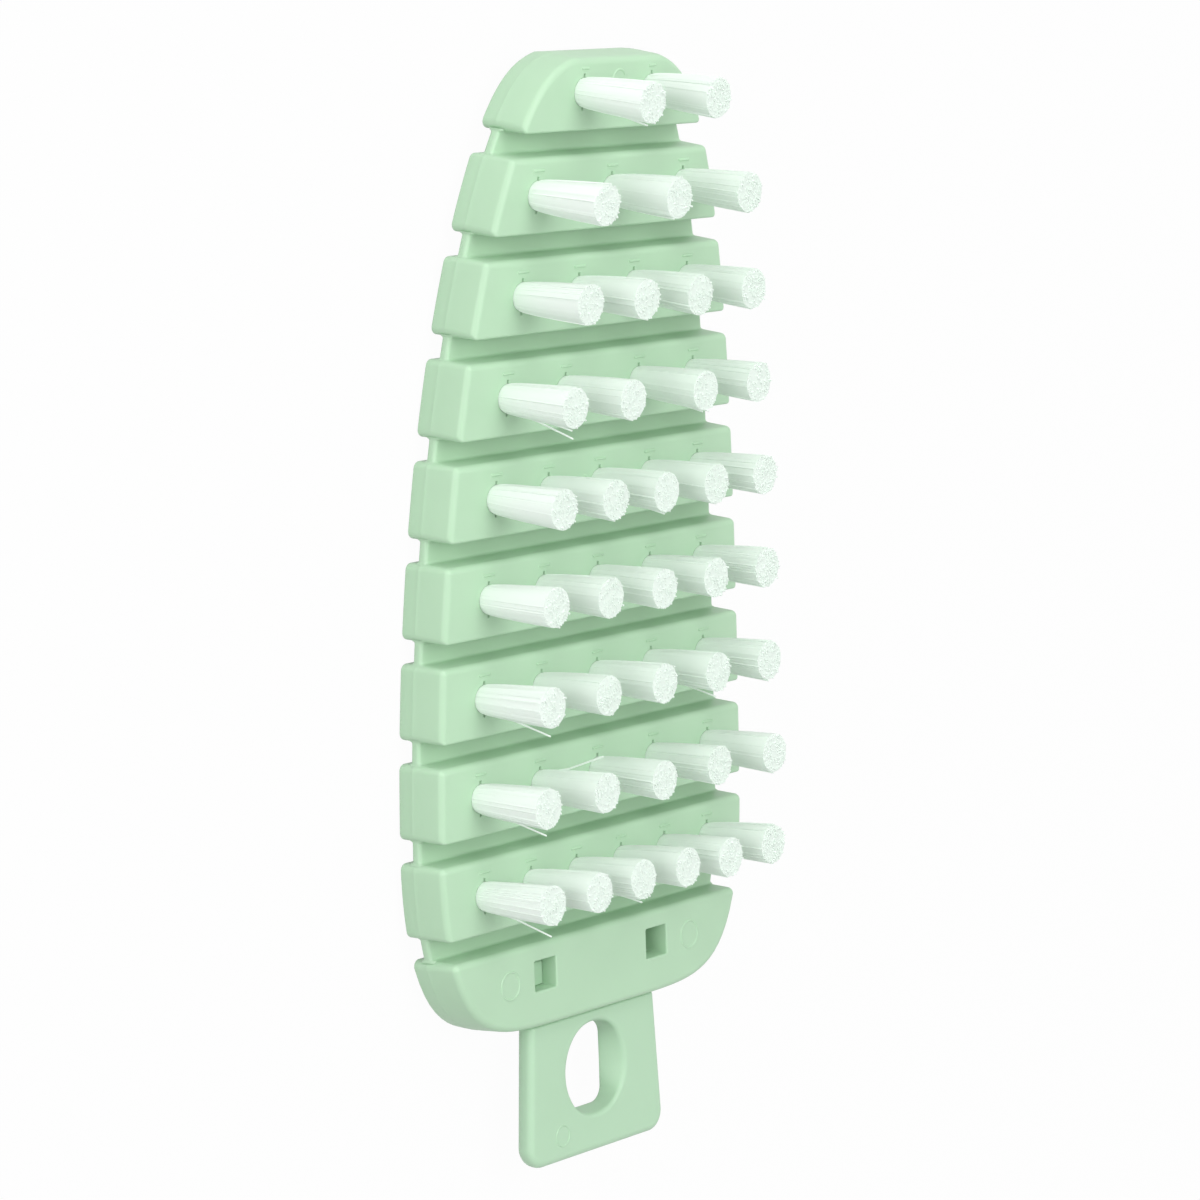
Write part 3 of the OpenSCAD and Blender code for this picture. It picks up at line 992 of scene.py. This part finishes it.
def hole_rings():
    """Height and offset of the rings up the wall of the tab's hole."""
    wall_top = TAB_T - RIM_R
    rings = [(z * MM, offset * MM) for z, offset in HOLE_BACK]
    rings += [(wall_top * k / HOLE_LEVELS, 0) for k in range(1, HOLE_LEVELS + 1)]
    for k in range(1, RIM_LEVELS + 1):
        rings.append((wall_top + RIM_R * math.sin(math.radians(90 * k / RIM_LEVELS)), 0))
    rings.append((TAB_T, HOLE_MARGIN))
    return rings


def add_hole_wall(shell):
    """Adds the wall of the tab's hole, and returns its first and last rings."""
    centre = low_end(BLOCKS) - HOLE_AT
    angles = [math.tau * k / HOLE_ANGLES for k in range(HOLE_ANGLES)]
    wall = []
    for z, offset in hole_rings():
        reaches = [hole_radius(a, z) + offset for a in angles]
        points = [(centre + r * math.cos(a), r * math.sin(a), TAB_Z + z) for a, r in zip(angles, reaches)]
        wall.append(shell.ring(points))
    for low, high in zip(wall, wall[1:]):
        shell.bridge(high, low)
    return wall[0], wall[-1]


def add_prong(shell, y):
    """One prong with its barb, sunk into the tab's plate."""
    x0 = low_end(BLOCKS)
    top = PRONG_Z + PRONG_T
    side_view = [
        (x0 - TAB_CORNER_R, PRONG_Z),
        (x0 + PRONG_LEN, PRONG_Z),
        (x0 + PRONG_LEN, PRONG_Z + PRONG_T / 2),
        (x0 + BARB_AT + BARB_CREST + BARB_H, top),
        (x0 + BARB_AT + BARB_CREST, top + BARB_H),
        (x0 + BARB_AT, top + BARB_H),
        (x0 + BARB_AT, top),
        (x0 - TAB_CORNER_R, top),
    ]
    near = shell.ring([(x, y - PRONG_W / 2, z) for x, z in side_view])
    far = shell.ring([(x, y + PRONG_W / 2, z) for x, z in side_view])
    shell.bridge(near, far)
    shell.close(near)
    shell.close(far[::-1])


def make_tab():
    shell = Shell()
    sides = [
        shell.ring([(x, y, TAB_Z + z) for x, y in tab_outline(inset)]) for z, inset in tab_side_rings()
    ]
    shell.stack(sides)
    hole_low, hole_top = add_hole_wall(shell)
    shell.plate(sides[0], [hole_low], up=False)
    mark = ring_mark((low_end(BLOCKS) - TAB_MARK_AT, TAB_MARK_SIDE), TAB_MARK_R, TAB_MARK_PROFILE)
    shell.plate(sides[-1], [hole_top, shell.feature(mark, TAB_Z + TAB_T)])
    for side in (-1, 1):
        add_prong(shell, side * PRONG_AT)
    piece = shell.object("hanging_tab_moulding", tab_material, on_block[BLOCKS])
    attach(piece, bodies[BLOCKS])
    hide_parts("hanging_tab")


make_tab()


# Camera, floor and light

LENS = 137.39
SENSOR = 36.0
CAMERA_PITCH = 0.1644
CAMERA_YAW = 0.9043
CAMERA_ROLL = -0.0114
# From the point on the surface under the middle of the level block
CAMERA_AT = Vector((104.0338, 507.1543, 407.1872)) * MM


def make_camera():
    turn = (
        Matrix.Rotation(CAMERA_ROLL, 3, "Z")
        @ Matrix.Rotation(CAMERA_PITCH, 3, "X")
        @ Matrix.Rotation(CAMERA_YAW, 3, "Y")
    )
    # The photograph's right is -Y and its up is +X
    upright = Matrix(((0, -1, 0), (1, 0, 0), (0, 0, 1)))
    to_camera = turn @ upright
    data = bpy.data.cameras.new("camera")
    data.lens = LENS
    data.sensor_width = SENSOR
    data.sensor_fit = "HORIZONTAL"
    data.clip_start = 0.01
    camera = bpy.data.objects.new("camera", data)
    back = to_camera.transposed()
    foot = Vector((middles[LEVEL_BLOCK].x, 0, 0))
    camera.matrix_world = Matrix.Translation(foot + CAMERA_AT) @ back.to_4x4()
    bpy.context.scene.collection.objects.link(camera)
    bpy.context.scene.camera = camera


FLOOR_REACH = 3.0
FLOOR_SHADE = 0.58
# How much of the floor's look is the white background, over which its shadow stays faint
WHITE_SHARE = 0.97
WORLD_LIGHT = 0.58
# Lamps around the object: place in metres, size and watts
LAMPS = {
    "key": ((0.3, 0.2, 0.93), 0.7, 4.4),
    "side": ((0.15, 0.95, 0.26), 0.6, 2.9),
    "top": ((0.95, 0.15, 0.4), 0.9, 3.2),
}


def shows_background(tree):
    """1 for the camera's rays and for what metal and glass show, and 0 for the light on the object."""
    path = tree.nodes.new("ShaderNodeLightPath")
    shown = path.outputs["Is Camera Ray"]
    for ray in ("Is Glossy Ray", "Is Transmission Ray"):
        either = tree.nodes.new("ShaderNodeMath")
        either.operation = "MAXIMUM"
        tree.links.new(shown, either.inputs[0])
        tree.links.new(path.outputs[ray], either.inputs[1])
        shown = either.outputs[0]
    return shown


def make_floor():
    data = bpy.data.meshes.new("floor")
    corners = [(x * FLOOR_REACH, y * FLOOR_REACH, 0) for x, y in ((-1, -1), (1, -1), (1, 1), (-1, 1))]
    data.from_pydata(corners, [], [(0, 1, 2, 3)])
    n = Nodes("floor")
    n.shader.inputs["Base Color"].default_value = (FLOOR_SHADE, FLOOR_SHADE, FLOOR_SHADE, 1)
    n.shader.inputs["Roughness"].default_value = 0.9
    white = n.add("ShaderNodeEmission")
    white.inputs["Strength"].default_value = 1.0
    share = n.add("ShaderNodeMath", operation="MULTIPLY")
    share.inputs[1].default_value = WHITE_SHARE
    n.link(shows_background(n.tree), share.inputs[0])
    mix = n.add("ShaderNodeMixShader")
    n.link(share.outputs[0], mix.inputs["Fac"])
    n.link(n.shader.outputs["BSDF"], mix.inputs[1])
    n.link(white.outputs["Emission"], mix.inputs[2])
    n.link(mix.outputs["Shader"], n.output.inputs["Surface"])
    data.materials.append(n.material)
    floor = bpy.data.objects.new("floor", data)
    bpy.context.scene.collection.objects.link(floor)


def make_lamp(name, at, size, power):
    """A round lamp that is aimed at the frame's origin."""
    data = bpy.data.lights.new(name, "AREA")
    data.shape = "DISK"
    data.size = size
    data.energy = power
    lamp = bpy.data.objects.new(name, data)
    aim = (-Vector(at)).to_track_quat("-Z", "Y")
    lamp.matrix_world = Matrix.Translation(at) @ aim.to_matrix().to_4x4()
    bpy.context.scene.collection.objects.link(lamp)


def make_world():
    world = bpy.data.worlds.new("world")
    bpy.context.scene.world = world
    world.use_nodes = True
    tree = world.node_tree
    background = tree.nodes["Background"]
    strength = tree.nodes.new("ShaderNodeMapRange")
    strength.inputs["To Min"].default_value = WORLD_LIGHT
    strength.inputs["To Max"].default_value = 1.0
    tree.links.new(shows_background(tree), strength.inputs["Value"])
    tree.links.new(strength.outputs["Result"], background.inputs["Strength"])
    background.inputs["Color"].default_value = (1, 1, 1, 1)


make_camera()
make_floor()
make_world()
for lamp_name, (lamp_at, lamp_size, lamp_power) in LAMPS.items():
    make_lamp(lamp_name, lamp_at, lamp_size, lamp_power)

scene = bpy.context.scene
scene.view_settings.view_transform = "Standard"

bpy.context.view_layer.update()
